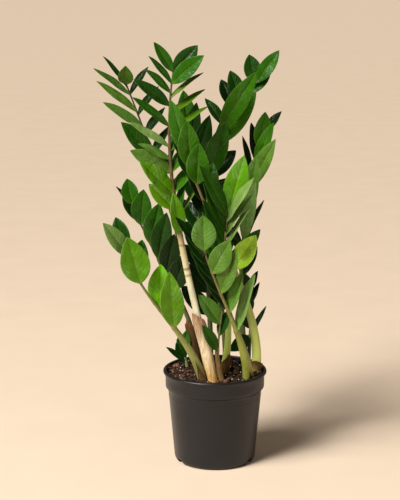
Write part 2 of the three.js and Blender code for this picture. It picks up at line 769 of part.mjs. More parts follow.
const plant = new THREE.Group();
plant.add(meshOf('pot', potGeometry(), 'pot'));
plant.add(meshOf('soil', soilBody(), 'soil'));
growPlant().forEach(({ frond, stem, blades }) => {
  const body = blades.reduce((solid, blade) => solid.add(blade.solid), stem.solid);
  plant.add(meshOf(frond.name, geometryOf(largest(body)), 'leaf'));
});
SHEATHS.forEach((sheath) => {
  plant.add(meshOf(sheath.name, sheathGeometry(sheath), 'husk'));
});

export default plant;
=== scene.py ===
"""A potted ZZ plant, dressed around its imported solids.

Its pieces are worked out in millimetres and made into meshes in metres. The frame is the
model's own: the origin is the middle of the pot's underside, +X is to the right, -Y is
the plant's front and +Z is up.
"""

import math

import bpy
from mathutils import Matrix, Vector, kdtree, noise


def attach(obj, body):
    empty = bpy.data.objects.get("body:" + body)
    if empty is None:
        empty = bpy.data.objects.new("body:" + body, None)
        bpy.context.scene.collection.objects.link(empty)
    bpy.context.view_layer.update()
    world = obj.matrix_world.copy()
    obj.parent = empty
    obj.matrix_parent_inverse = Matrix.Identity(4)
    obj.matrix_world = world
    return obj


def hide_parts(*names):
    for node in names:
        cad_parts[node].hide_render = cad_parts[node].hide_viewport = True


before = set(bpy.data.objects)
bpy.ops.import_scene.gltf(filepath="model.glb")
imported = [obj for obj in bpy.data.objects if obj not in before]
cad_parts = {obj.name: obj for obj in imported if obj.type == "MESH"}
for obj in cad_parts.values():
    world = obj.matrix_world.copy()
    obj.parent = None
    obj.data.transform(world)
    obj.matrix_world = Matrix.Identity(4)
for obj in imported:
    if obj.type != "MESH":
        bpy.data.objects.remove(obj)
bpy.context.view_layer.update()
scene = bpy.context.scene

MM = 0.001
TURN = 2 * math.pi
GOLDEN = math.pi * (3 - math.sqrt(5))

# ---- driving dimensions

POT = {
    "height": 135, "lip_radius": 75, "lip_height": 5.2, "band_radius": 71.5, "band_foot": 110,
    "wall_top": 108, "wall_top_radius": 68, "wall_foot_radius": 58.7, "corner_height": 6,
    "foot_radius": 54.4, "wall": 1.8, "floor": 2.2, "sides": 144,
}
NOTCH = {"count": 3, "width": 14, "height": 6.5, "below": 4, "radii": (48, 64), "first": -150}
DRAIN = {"count": 6, "radius": 4, "ring": 34, "sides": 24}
SEAM = {
    "ridge": 96.5, "groove": 99, "width": 0.9, "depth": 0.14,
    "levels": (95, 96, 96.5, 97.2, 98.2, 99, 99.8, 100.8),
}
SOIL = {
    "level": 128.5, "heap": 3.2, "heap_angle": 130, "roughness": 1.5, "radius": 69.2,
    "bed_drop": 1.2, "bed_foot": 114, "border": 2.5, "sides": 120, "rings": 46,
}
CHIPS = {
    "count": 620, "room": 1.5, "big_every": 5, "big": (7, 13), "small": (2.5, 6.5),
    "width": (0.3, 0.62), "height": (0.8, 2.2), "lift": (-0.3, 1.5), "tilt": 0.75, "nod": 0.6,
    "bend": 0.12, "rough": 0.28,
}
PERLITE = {"count": 100, "room": 1.2, "size": (0.5, 1.25), "lift": (0.2, 1.6)}
GRAIN = {"sides": 8, "rings": 6}

STEM = {
    "sides": 16, "rings": 144, "sink": 15, "sunk_rings": 4, "shoulder": 0.4, "uneven": 0.05,
    "node": 0.16, "node_reach": 3.2, "node_shade": 0.62, "slim": 0.8, "slim_span": (0.44, 0.6),
}
BLADE = {
    "thickness": 0.95, "rib": 1.4, "rib_fade": 8, "neck": 1.5, "fold": 13, "curl": 0.07,
    "fullness": (0.78, 0.88), "pillow": 0.3, "groove": 0.55, "groove_width": 0.07,
    "keel": 0.5, "keel_width": 0.11, "wave": 0.011, "waves": 1.3, "twist": 5, "skew": 0.05,
    "rib_width": 0.05, "margin": 0.93,
    "stations": 22, "columns": (0, 0.05, 0.12, 0.28, 0.48, 0.68, 0.86, 0.96, 1),
}
CURVE_STEPS = 200
SEARCH = {"step": 3.2, "tries": 46, "match": 0.05}
SCATTER = {"lean": 3, "fore": 6, "roll": 9, "length": 0.05}


def srgb(red, green, blue):
    """A linear colour from its 8-bit display values."""
    def linear(value):
        share = value / 255
        return share / 12.92 if share <= 0.04045 else ((share + 0.055) / 1.055) ** 2.4
    return linear(red), linear(green), linear(blue)


# The greens of the upper leaf faces, some with painted light in them. sage and pale are a paler
# underside green with a painted sheen, the broad reflection of a window on leaves seen at a slant.
# spring is brightened as painted light on leaves that lie in shade. lime is a young leaf's
# yellow-green, brightened the same way. dark is partly a deep green and partly painted shade
# for leaves that lie in the shadow of others.
SHADES = {
    "spring": srgb(102, 176, 6), "lime": srgb(176, 228, 62), "sage": srgb(82, 124, 40),
    "pale": srgb(110, 146, 72), "bright": srgb(82, 140, 6), "fresh": srgb(48, 102, 3),
    "olive": srgb(76, 116, 8), "mid": srgb(36, 86, 3), "deep": srgb(22, 62, 3),
    "dark": srgb(10, 40, 2),
}
RIB_GREEN = srgb(150, 176, 70)
MARGIN_GREEN = srgb(140, 160, 80)


# ---- the fronds
#
# through: four points that the stem passes, at 0, 1/3, 2/3 and all of its length.
# girth:   stem radius at the foot, at the shoulder and at the tip.
# ranks:   count, span, lean, fore, roll, length, width and shade of a row of leaflets,
#          each pair for its lowest and its highest leaflet. lean is the angle from upright
#          towards +X, fore the angle towards the front, roll the turn about the midrib.
# single:  single leaflets: place on the stem, lean, fore, roll, length, width, shade.
# stem:    colours up the stem, each with its place.

FRONDS = [
    {"name": "front_left",
     "through": [(-18, -30, 127), (-52, -56, 203), (-94, -80, 266), (-120, -98, 333)],
     "girth": (7, 3.2, 1.2),
     "ranks": [],
     "single": [
         (0.75, -12, 29, 4, 81, 41, "bright"), (0.38, -3, 32, 2, 103, 34, "bright"),
         (0.53, 1, 0, -8, 64, 35, "spring"), (0.95, -32, 22, 30, 63, 24, "pale"),
         (0.99, -22, -14, -14, 48, 26, "deep"), (0.8, 8, -16, 0, 52, 26, "mid"),
     ],
     "stem": [(0, (150, 152, 92)), (0.2, (146, 152, 82)), (0.5, (128, 134, 62)),
              (1, (96, 118, 44))]},
    {"name": "front_tall",
     "through": [(-3, -36, 129), (-37, -40, 277), (-61, -36, 424), (-58, -16, 568)],
     "girth": (5.2, 4.4, 1.3),
     "ranks": [
         (3, (0.8, 0.91), (55, 52), (-22, -14), (-60, -64), (69, 57), (16, 17), "olive"),
         (3, (0.61, 0.74), (36, 28), (-22, -24), (-40, -40), (58, 48), (23, 20), "fresh"),
     ],
     "single": [
         (0.475, -6, 24, 30, 69, 24, "spring"), (0.992, -31, 10, 20, 49, 17, "mid"),
         (0.99, 42, 2, -8, 50, 26, "deep"), (0.955, 47, 14, -18, 60, 25, "mid"),
         (0.955, -36, 12, 56, 50, 15, "mid"), (0.925, -43, 14, 54, 49, 16, "mid"),
         (0.885, -50, 16, 38, 63, 21, "deep"), (0.82, -47, 17, 48, 67, 16, "mid"),
         (0.755, -53, 19, 56, 69, 16, "pale"), (0.715, -57, 20, 56, 52, 16, "sage"),
         (0.675, -57, 21, 30, 68, 27, "sage"), (0.605, -40, 24, 34, 72, 28, "bright"),
         (0.555, -46, -16, 30, 54, 26, "olive"), (0.53, 10, -10, -50, 57, 18, "mid"),
         (0.52, 28, -16, -70, 64, 15, "olive"),
     ],
     "stem": [(0, (224, 210, 160)), (0.2, (255, 255, 226)), (0.27, (252, 250, 216)),
              (0.34, (228, 220, 184)), (0.347, (172, 146, 104)), (0.354, (226, 216, 180)),
              (0.361, (222, 212, 174)), (0.368, (146, 116, 78)), (0.375, (218, 206, 166)),
              (0.438, (200, 186, 140)), (0.444, (156, 128, 86)), (0.451, (190, 174, 128)),
              (0.5, (116, 96, 62)),
              (0.8, (100, 76, 52)), (1, (92, 78, 44))]},
    {"name": "front_right",
     "through": [(48, -23, 128), (31, -52, 202), (5, -76, 270), (-16, -88, 330)],
     "girth": (8.2, 3.4, 1.2),
     "ranks": [
         (4, (0.5, 0.86), (-33, -38), (-14, -8), (52, 50), (62, 53), (24, 22), "dark"),
     ],
     "single": [
         (0.35, 12, 20, -58, 96, 26, "pale"), (0.49, 13, 22, -48, 68, 24, "sage"),
         (0.64, 15, 24, -28, 77, 29, "sage"), (0.8, 24, 24, -14, 60, 31, "sage"),
         (0.99, -2, 10, 6, 50, 35, "sage"), (0.95, -36, 4, 50, 67, 20, "dark"),
         (0.965, -16, -8, 20, 48, 26, "mid"),
     ],
     "stem": [(0, (166, 174, 74)), (0.3, (138, 146, 62)), (0.6, (126, 118, 70)),
              (1, (120, 102, 70))]},
    {"name": "centre",
     "through": [(12, 3, 129), (19, -8, 213), (14, -26, 296), (19, -46, 376)],
     "girth": (6, 3.4, 1.3),
     "ranks": [
         (5, (0.6, 0.96), (-19, -23), (12, 24), (42, 36), (71, 93), (24, 25), "mid"),
         (3, (0.76, 0.93), (24, 24), (24, 34), (-74, -70), (76, 95), (20, 21), "pale"),
     ],
     "single": [
         (0.99, 13, 16, -14, 86, 35, "bright"),
     ],
     "stem": [(0, (202, 228, 108)), (0.3, (180, 206, 98)), (0.6, (112, 108, 58)),
              (1, (150, 130, 92))]},
    {"name": "leaning",
     "through": [(58, 8, 127), (45, -4, 234), (-3, -30, 355), (-38, -62, 458)],
     "girth": (7.4, 4.6, 1.3),
     "ranks": [
         (4, (0.66, 0.95), (-38, -35), (-22, -14), (42, 32), (57, 38), (22, 18), "dark"),
     ],
     "single": [
         (0.985, -17, 14, -6, 82, 27, "fresh"), (0.475, 30, 16, -14, 62, 32, "lime"),
         (0.92, -5, 28, -4, 75, 32, "fresh"), (0.84, 2, 34, -6, 72, 33, "fresh"),
         (0.75, 12, -18, -8, 60, 28, "mid"), (0.66, 14, -20, -10, 62, 28, "mid"),
         (0.49, 37, -12, -34, 66, 24, "deep"),
     ],
     "stem": [(0, (222, 234, 132)), (0.14, (208, 224, 116)), (0.35, (154, 174, 80)),
              (0.6, (120, 104, 70)), (1, (150, 128, 94))]},
    {"name": "right_tall",
     "through": [(16, 26, 130), (0, 44, 268), (-11, 46, 411), (61, 34, 548)],
     "girth": (5, 3.2, 1.3),
     "ranks": [
         (3, (0.46, 0.64), (-36, -34), (-24, -24), (16, 14), (68, 60), (28, 27), "dark"),
         (3, (0.46, 0.66), (38, 44), (20, 6), (-20, -20), (68, 58), (28, 27), "dark"),
     ],
     "single": [
         (0.992, 34, 6, -18, 56, 22, "mid"), (0.83, 30, 22, 0, 100, 31, "fresh"),
         (0.77, 38, -8, 0, 100, 34, "fresh"), (0.66, 18, 20, 8, 90, 33, "mid"),
         (0.95, 47, -10, -24, 51, 26, "mid"), (0.99, -12, -8, 8, 42, 26, "deep"),
         (0.93, -17, -13, 20, 45, 24, "deep"), (0.9, -22, -19, 28, 47, 24, "dark"),
         (0.84, -32, -24, 42, 50, 20, "deep"),
     ],
     "stem": [(0, (92, 96, 48)), (0.5, (80, 88, 40)), (1, (84, 84, 40))]},
    {"name": "right",
     "through": [(46, 44, 133), (39, 58, 241), (47, 62, 358), (74, 60, 475)],
     "girth": (5, 3, 1.2),
     "ranks": [],
     "single": [
         (0.92, 7, 14, 8, 56, 27, "fresh"), (0.985, 34, -8, -50, 40, 18, "deep"),
         (0.85, 18, 22, -34, 74, 22, "fresh"), (0.76, 22, 28, -28, 90, 26, "sage"),
         (0.65, 6, 30, -24, 104, 28, "sage"), (0.54, 7, 28, -36, 104, 27, "pale"),
         (0.51, 21, -6, -68, 76, 17, "deep"), (0.86, -5, -12, 38, 60, 21, "dark"),
         (0.76, -6, -20, 54, 78, 19, "dark"), (0.385, 20, -4, -40, 50, 25, "dark"),
         (0.5, -30, 30, 48, 62, 24, "dark"),
     ],
     "stem": [(0, (88, 100, 44)), (0.5, (78, 92, 38)), (1, (84, 88, 40))]},
    {"name": "back_left",
     "through": [(-12, 12, 129), (-38, 34, 258), (-77, 62, 396), (-130, 92, 540)],
     "girth": (4.6, 2.8, 1.3),
     "ranks": [
         (4, (0.76, 0.962), (29, 31), (-26, -16), (-52, -52), (58, 50), (20, 18), "dark"),
         (2, (0.6, 0.68), (22, 24), (-34, -30), (-48, -48), (56, 56), (22, 21), "dark"),
     ],
     "single": [
         (0.995, 2, 52, 0, 44, 23, "sage"), (0.985, -34, 4, 64, 57, 13, "deep"),
         (0.96, -42, 24, 56, 70, 14, "sage"), (0.905, -48, 15, 48, 75, 16, "sage"),
         (0.855, -53, 18, 42, 70, 18, "sage"), (0.76, -39, 20, 26, 71, 27, "mid"),
         (0.66, -22, 24, 26, 58, 25, "mid"),
     ],
     "stem": [(0, (92, 88, 48)), (0.4, (88, 72, 42)), (0.7, (72, 50, 34)),
              (1, (64, 44, 34))]},
    {"name": "left",
     "through": [(-25, 37, 128), (-44, 40, 212), (-81, 34, 288), (-119, 24, 375)],
     "girth": (4.8, 2.8, 1.2),
     "ranks": [
         (2, (0.46, 0.6), (-4, -6), (-44, -40), (16, 20), (58, 52), (27, 25), "dark"),
     ],
     "single": [
         (0.99, -12, -4, 10, 38, 25, "mid"), (0.94, -34, -14, 70, 50, 17, "dark"),
         (0.88, 4, 14, -6, 55, 31, "mid"), (0.77, 12, 22, -8, 69, 32, "mid"),
         (0.68, 10, 28, -10, 82, 32, "deep"), (0.58, 10, 32, -14, 76, 32, "dark"),
         (0.48, 15, 34, -20, 72, 32, "dark"), (0.9, -34, -20, 30, 46, 20, "dark"),
     ],
     "stem": [(0, (96, 92, 50)), (0.4, (84, 92, 42)), (1, (80, 92, 40))]},
    {"name": "back_centre",
     "through": [(-6, 48, 131), (-10, 74, 245), (-22, 90, 358), (-38, 96, 465)],
     "girth": (4.4, 2.8, 1.2),
     "ranks": [
         (4, (0.2, 0.48), (-44, -38), (10, 6), (22, 24), (62, 56), (29, 27), "dark"),
         (6, (0.22, 0.64), (44, 36), (-28, -18), (-22, -18), (66, 64), (30, 28), "dark"),
         (3, (0.62, 0.84), (4, 6), (-58, -50), (0, 0), (60, 54), (27, 25), "deep"),
     ],
     "single": [
         (0.99, -7, 8, 0, 68, 29, "mid"), (0.93, 8, 10, -16, 70, 25, "dark"),
         (0.84, 15, 16, -8, 85, 29, "dark"), (0.74, 16, 22, -10, 90, 28, "dark"),
     ],
     "stem": [(0, (66, 78, 34)), (0.5, (62, 74, 32)), (1, (62, 70, 32))]},
    {"name": "low_right",
     "through": [(49, 27, 129), (52, 48, 162), (54, 66, 198), (53, 80, 233)],
     "girth": (3.6, 2.2, 1.1),
     "ranks": [
         (3, (0.5, 0.9), (-30, -12), (14, 14), (30, 20), (44, 46), (21, 21), "dark"),
         (2, (0.36, 0.8), (27, 21), (-24, -16), (-58, -50), (57, 37), (14, 13), "dark"),
     ],
     "single": [
         (0.99, 18, 0, -50, 32, 14, "dark"), (0.4, -112, 46, 20, 46, 22, "dark"),
     ],
     "stem": [(0, (80, 92, 42)), (0.5, (70, 84, 36)), (1, (66, 80, 34))]},
    {"name": "young_front",
     "through": [(10, -39, 129), (4, -36, 163), (6, -33, 198), (10, -29, 232)],
     "girth": (3, 1.9, 1.1),
     "ranks": [],
     "single": [
         (0.78, -33, 8, 36, 54, 26, "sage"), (0.42, -26, 26, 34, 52, 18, "mid"),
         (0.62, 20, -10, -40, 40, 20, "deep"), (0.97, 16, -16, -30, 46, 22, "dark"),
     ],
     "stem": [(0, (176, 158, 118)), (0.3, (146, 134, 88)), (1, (110, 104, 62))]},
    {"name": "low_back_left",
     "through": [(-41, 25, 131), (-44, 32, 141), (-48, 40, 150), (-52, 50, 160)],
     "girth": (3.2, 2.4, 1.4),
     "ranks": [],
     "single": [
         (0.5, 7, 6, -8, 39, 17, "mid"), (0.7, -8, -26, 10, 24, 15, "deep"),
         (0.3, -26, 10, 20, 29, 18, "deep"), (0.55, 44, -30, -20, 36, 20, "deep"),
         (0.12, -46, 14, 60, 42, 12, "deep"),
     ],
     "stem": [(0, (88, 104, 48)), (0.5, (80, 100, 44)), (1, (76, 96, 40))]},
]

# ---- small helpers


def lerp(a, b, share):
    return a + (b - a) * share


def scatter(seed):
    """The same draw for the same number, between -1 and 1."""
    wave = math.sin(seed * 12.9898) * 43758.5453
    return 2 * (wave - math.floor(wave)) - 1


def between(pair, seed):
    return lerp(pair[0], pair[1], 0.5 + 0.5 * scatter(seed))


def smooth(low, high, value):
    """0 up to low, 1 from high on and a soft slope between, also where high is the lower."""
    share = min(1, max(0, (value - low) / (high - low)))
    return share * share * (3 - 2 * share)


def mixed(a, b, share):
    return tuple(lerp(x, y, share) for x, y in zip(a, b))


def shaded(colour, factor):
    return tuple(channel * factor for channel in colour)


def circle(radius, sides):
    """Points of a circle about the upright axis, anticlockwise seen from above."""
    angles = [TURN * k / sides for k in range(sides)]
    return [(radius * math.cos(angle), radius * math.sin(angle)) for angle in angles]


def add_object(name, data):
    made = bpy.data.objects.new(name, data)
    scene.collection.objects.link(made)
    return made


class Body:
    """Collects one mesh's corners, faces and what its material reads at each corner."""

    def __init__(self):
        self.points = []
        self.faces = []
        self.slots = []
        self.tints = []
        self.marks = []

    def point(self, place, tint, mark=(0, 0, 1)):
        """mark holds what the materials read as along, across and upper.

        On a leaflet, upper is 1 on the upper face and 0 underneath. On a stem it is the
        darkness of the skin, which lets the dashes show.
        """
        self.points.append(place)
        self.tints.append(tint)
        self.marks.append(mark)
        return len(self.points) - 1

    def face(self, corners, slot=0):
        self.faces.append(corners)
        self.slots.append(slot)

    def rings(self, rings, slot=0):
        """Walls between rings of corners. A ring runs anticlockwise seen from the far end."""
        for low, high in zip(rings, rings[1:]):
            for k, corner in enumerate(low):
                after = (k + 1) % len(low)
                self.face((corner, low[after], high[after], high[k]), slot)

    def tube(self, rings, slot=0):
        """Walls between rings of corners, closed at both ends."""
        self.rings(rings, slot)
        self.face(tuple(reversed(rings[0])), slot)
        self.face(tuple(rings[-1]), slot)

    def fan(self, ring, tip):
        for k, corner in enumerate(ring):
            self.face((corner, ring[(k + 1) % len(ring)], tip))

    def object(self, name, materials):
        mesh = bpy.data.meshes.new(name)
        mesh.from_pydata([Vector(p) * MM for p in self.points], [], self.faces)
        tint = mesh.attributes.new("tint", "FLOAT_COLOR", "POINT")
        tint.data.foreach_set("color", [c for colour in self.tints for c in (*colour, 1)])
        for index, label in enumerate(("along", "across", "upper")):
            attribute = mesh.attributes.new(label, "FLOAT", "POINT")
            attribute.data.foreach_set("value", [mark[index] for mark in self.marks])
        mesh.polygons.foreach_set("material_index", self.slots)
        mesh.polygons.foreach_set("use_smooth", [True] * len(self.faces))
        for material in materials:
            mesh.materials.append(material)
        mesh.validate()
        mesh.update()
        return add_object(name, mesh)


# ---- materials

MIDDLE = (0.3, 0.7)  # The range that holds most of a noise's values.


def new_material(name, **sockets):
    material = bpy.data.materials.new(name)
    material.use_nodes = True
    shader = material.node_tree.nodes["Principled BSDF"]
    for socket, value in sockets.items():
        shader.inputs[socket.replace("_", " ")].default_value = value
    return material, material.node_tree, shader


def node(tree, kind, inputs=None, **settings):
    """A node with its settings and inputs. An input is a number, a colour or a socket."""
    made = tree.nodes.new(kind)
    for setting, value in settings.items():
        setattr(made, setting, value)
    for key, value in (inputs or {}).items():
        if isinstance(value, bpy.types.NodeSocket):
            tree.links.new(value, made.inputs[key])
        else:
            made.inputs[key].default_value = value
    return made


def read(tree, attribute, colour=False):
    made = node(tree, "ShaderNodeAttribute", attribute_name=attribute)
    return made.outputs["Color" if colour else "Fac"]


def mottle(tree, scale, detail=3, stretch=(1, 1, 1), distortion=0.0):
    """Soft noise with scale features to the metre."""
    place = node(tree, "ShaderNodeTexCoord").outputs["Object"]
    moved = node(tree, "ShaderNodeMapping", {"Vector": place, "Scale": stretch}).outputs[0]
    inputs = {"Vector": moved, "Scale": scale, "Detail": detail, "Distortion": distortion}
    return node(tree, "ShaderNodeTexNoise", inputs).outputs["Fac"]


def remap(tree, value, source, target):
    inputs = {0: value, 1: source[0], 2: source[1], 3: target[0], 4: target[1]}
    return node(tree, "ShaderNodeMapRange", inputs, clamp=True).outputs[0]


def maths(tree, operation, a, b=0.0):
    return node(tree, "ShaderNodeMath", {0: a, 1: b}, operation=operation).outputs[0]


def times(tree, a, b):
    return maths(tree, "MULTIPLY", a, b)


def mix(tree, factor, a, b):
    return node(tree, "ShaderNodeMix", {0: factor, 6: a, 7: b}, data_type="RGBA").outputs[2]


def toned(tree, colour, value=1.0, saturation=1.0):
    inputs = {"Color": colour, "Value": value, "Saturation": saturation}
    return node(tree, "ShaderNodeHueSaturation", inputs).outputs[0]


def bump(tree, shader, height, strength, distance, sockets=("Normal",)):
    inputs = {"Height": height, "Strength": strength, "Distance": distance}
    raised = node(tree, "ShaderNodeBump", inputs).outputs[0]
    for socket in sockets:
        tree.links.new(raised, shader.inputs[socket])


def paint(tree, shader, colour, roughness):
    tree.links.new(colour, shader.inputs["Base Color"])
    tree.links.new(roughness, shader.inputs["Roughness"])


def leaf_material():
    """Waxy leaf: mottled green, slanting side veins, patches of painted sheen, a paler underside.
    """
    material, tree, shader = new_material(
        "leaf_wax", Specular_IOR_Level=0.04, Coat_Weight=0.16, Coat_Roughness=0.22)
    tint, along, across = read(tree, "tint", True), read(tree, "along"), read(tree, "across")
    clouds = mottle(tree, 55, 4)
    grain = mottle(tree, 420, 2)
    colour = toned(tree, tint, remap(tree, clouds, MIDDLE, (0.84, 1.14)))
    colour = toned(tree, colour, remap(tree, grain, MIDDLE, (0.94, 1.06)))
    slant = maths(tree, "SUBTRACT", times(tree, along, 9.0), times(tree, across, 2.6))
    slant = maths(tree, "ADD", slant, times(tree, mottle(tree, 48, 2), 1.6))
    wave = maths(tree, "SINE", times(tree, slant, TURN))
    veins = remap(tree, wave, (0.55, 1.0), (0.0, 1.0))
    lit_veins = toned(tree, colour, 1.14, 0.97)
    colour = mix(tree, times(tree, veins, 0.35), colour, lit_veins)
    # Painted sheen: pale patches along the side veins, mixed into the base colour as a painted
    # highlight.
    patches = remap(tree, mottle(tree, 42, 3, (1, 1, 0.6), 0.8), (0.5, 0.66), (0.0, 0.55))
    painted_sheen = times(tree, patches, remap(tree, wave, (-0.7, 0.9), (0.15, 0.7)))
    colour = mix(tree, painted_sheen, colour, toned(tree, colour, 1.7, 0.72))
    under = toned(tree, colour, 1.22, 0.78)
    colour = mix(tree, read(tree, "upper"), under, colour)
    gloss = remap(tree, mottle(tree, 90, 3), MIDDLE, (0.26, 0.44))
    dull = remap(tree, read(tree, "upper"), (0.0, 1.0), (0.18, 0.0))
    paint(tree, shader, colour, maths(tree, "ADD", gloss, dull))
    swells = mottle(tree, 70, 2, (1, 1, 0.7), 0.5)
    relief = maths(tree, "ADD", times(tree, swells, 3.0), times(tree, grain, 0.08))
    height = maths(tree, "ADD", times(tree, veins, -0.3), relief)
    bump(tree, shader, height, 0.7, 0.0011, ("Normal", "Coat Normal"))
    return material


def stem_material():
    """Fleshy stalk with dark dashes along it where its skin is dark."""
    material, tree, shader = new_material("stem_skin", Specular_IOR_Level=0.45)
    tint = read(tree, "tint", True)
    dashes = remap(tree, mottle(tree, 1, 2, (520, 520, 130)), (0.56, 0.66), (0.0, 1.0))
    clouds = mottle(tree, 70, 3, (1, 1, 0.35))
    colour = toned(tree, tint, remap(tree, clouds, MIDDLE, (0.88, 1.12)))
    dark = toned(tree, colour, 0.55, 1.15)
    dashes = times(tree, dashes, read(tree, "upper"))
    colour = mix(tree, times(tree, dashes, 0.6), colour, dark)
    paint(tree, shader, colour, remap(tree, clouds, MIDDLE, (0.36, 0.52)))
    bump(tree, shader, mottle(tree, 1, 3, (700, 700, 40)), 0.4, 0.0006)
    return material


def husk_material():
    """Dry papery sheath with long fibres and reddish brown streaks."""
    material, tree, shader = new_material("husk_paper", Specular_IOR_Level=0.25)
    tint = read(tree, "tint", True)
    fibres = mottle(tree, 1, 4, (900, 900, 34), 0.3)
    streaks = remap(tree, mottle(tree, 1, 3, (170, 170, 16)), (0.42, 0.62), (0.0, 1.0))
    colour = toned(tree, tint, remap(tree, fibres, MIDDLE, (0.56, 1.3)))
    stained = mix(tree, 0.32, colour, (*srgb(166, 92, 58), 1))
    colour = mix(tree, times(tree, streaks, 0.4), colour, stained)
    paint(tree, shader, colour, remap(tree, fibres, MIDDLE, (0.55, 0.8)))
    bump(tree, shader, fibres, 0.9, 0.0012)
    return material


def soil_material(name, scale, spread):
    """Crumbly matter whose corners carry its colour."""
    material, tree, shader = new_material(name, Specular_IOR_Level=0.3)
    grain = mottle(tree, scale, 5)
    colour = toned(tree, read(tree, "tint", True), remap(tree, grain, (0.32, 0.68), spread))
    paint(tree, shader, colour, remap(tree, grain, MIDDLE, (0.6, 0.95)))
    bump(tree, shader, grain, 0.8, 0.0012)
    return material


def pot_material():
    """Satin black moulded plastic with faint dust towards its foot."""
    material, tree, shader = new_material("pot_plastic", Specular_IOR_Level=0.4)
    place = node(tree, "ShaderNodeTexCoord").outputs["Object"]
    height = node(tree, "ShaderNodeSeparateXYZ", {0: place}).outputs[2]
    low = remap(tree, height, (0.0, 0.05), (0.45, 0.12))
    clouds = remap(tree, mottle(tree, 26, 4), (0.4, 0.7), (0.0, 1.0))
    dust = times(tree, low, clouds)
    colour = mix(tree, dust, (*srgb(18, 19, 24), 1), (*srgb(38, 38, 40), 1))
    gloss = remap(tree, mottle(tree, 60, 3, (1, 1, 0.3)), MIDDLE, (0.3, 0.42))
    paint(tree, shader, colour, gloss)
    bump(tree, shader, mottle(tree, 1400, 2), 0.25, 0.0003)
    return material


def floor_material():
    material, tree, shader = new_material("floor_plain", Roughness=0.8)
    grain = mottle(tree, 9, 3)
    colour = toned(tree, (*srgb(232, 213, 192), 1), remap(tree, grain, MIDDLE, (0.98, 1.02)))
    tree.links.new(colour, shader.inputs["Base Color"])
    return material


# ---- the stems


class Curve:
    """The cubic through four points at 0, 1/3, 2/3 and 1, as a stem follows it."""

    def __init__(self, frond):
        a, b, c, d = (Vector(p) for p in frond["through"])
        self.hulls = (a, a * (-5 / 6) + b * 3 - c * 1.5 + d / 3,
                      a / 3 - b * 1.5 + c * 3 - d * (5 / 6), d)
        steps = [self.at(k / CURVE_STEPS) for k in range(CURVE_STEPS + 1)]
        self.length = sum((q - p).length for p, q in zip(steps, steps[1:]))

    def at(self, t):
        a, b, c, d = self.hulls
        s = 1 - t
        return a * s ** 3 + b * (3 * s * s * t) + c * (3 * s * t * t) + d * t ** 3

    def along(self, t):
        a, b, c, d = self.hulls
        s = 1 - t
        return ((b - a) * (s * s) + (c - b) * (2 * s * t) + (d - c) * (t * t)).normalized()

    def station(self, t):
        """Point and two square directions; below its foot the stem runs on straight."""
        along = self.along(max(t, 0))
        point = self.at(max(t, 0)) + along * min(t, 0) * self.length
        right = Vector((0, 1, 0)).cross(along).normalized()
        return point, along, right, along.cross(right)


def stem_radius(frond, t):
    foot, shoulder, tip = frond["girth"]
    if t < STEM["shoulder"]:
        return lerp(foot, shoulder, max(t, 0) / STEM["shoulder"])
    return lerp(shoulder, tip, (t - STEM["shoulder"]) / (1 - STEM["shoulder"]))


def stem_tint(frond, t):
    """The stem's colour at t, even between the places that its table gives."""
    marks = frond["stem"]
    for (low, lower), (high, upper) in zip(marks, marks[1:]):
        if t <= high:
            return mixed(srgb(*lower), srgb(*upper), (t - low) / (high - low))
    return srgb(*marks[-1][1])


def grow_stem(body, frond, curve, nodes):
    """The stem, a little swollen where each leaflet leaves it."""
    rings = []
    sunk = STEM["sunk_rings"]
    for k in range(-sunk, STEM["rings"] + 1):
        t = k / STEM["rings"] if k >= 0 else k / sunk * STEM["sink"] / curve.length
        point, _, right, back = curve.station(t)
        gaps = [(t - place) * curve.length for place in nodes]
        swell = min(1, sum(math.exp(-(gap / STEM["node_reach"]) ** 2) for gap in gaps))
        slim = lerp(1, STEM["slim"], smooth(*STEM["slim_span"], t))
        radius = stem_radius(frond, t) * slim * (1 + STEM["node"] * swell)
        tint = stem_tint(frond, max(t, 0))
        darkness = smooth(0.7, 0.4, tint[1])
        tint = mixed(tint, shaded(tint, STEM["node_shade"]), 0.5 * swell)
        ring = []
        for side in range(STEM["sides"]):
            angle = TURN * side / STEM["sides"]
            spot = Vector((side * 0.7, t * 9, frond["girth"][0]))
            uneven = radius * (1 + STEM["uneven"] * noise.noise(spot))
            place = point + right * uneven * math.cos(angle) + back * uneven * math.sin(angle)
            ring.append(body.point(place, tint, (t, side / STEM["sides"], darkness)))
        rings.append(ring)
    body.tube(rings, slot=1)


# ---- the leaves


def outline(u):
    """Half width along the blade, 1 at its widest."""
    root, tip = BLADE["fullness"]
    widest = root / (root + tip)
    return u ** root * (1 - u) ** tip / (widest ** root * (1 - widest) ** tip)


def blade_frame(leaf):
    """The blade's directions: along the midrib, out of its upper face and to its side."""
    lean, fore = math.radians(leaf["lean"]), math.radians(leaf["fore"])
    d = Vector((math.sin(lean) * math.cos(fore), -math.sin(fore), math.cos(lean) * math.cos(fore)))
    n = (Vector((0, -1, 0)) + d * d.y).normalized()
    n.rotate(Matrix.Rotation(math.radians(leaf["roll"]), 3, d))
    return d, n, d.cross(n)


def blade_tip(leaf):
    d, n, _ = blade_frame(leaf)
    return leaf["root"] + d * leaf["length"] - n * (BLADE["curl"] * leaf["length"])


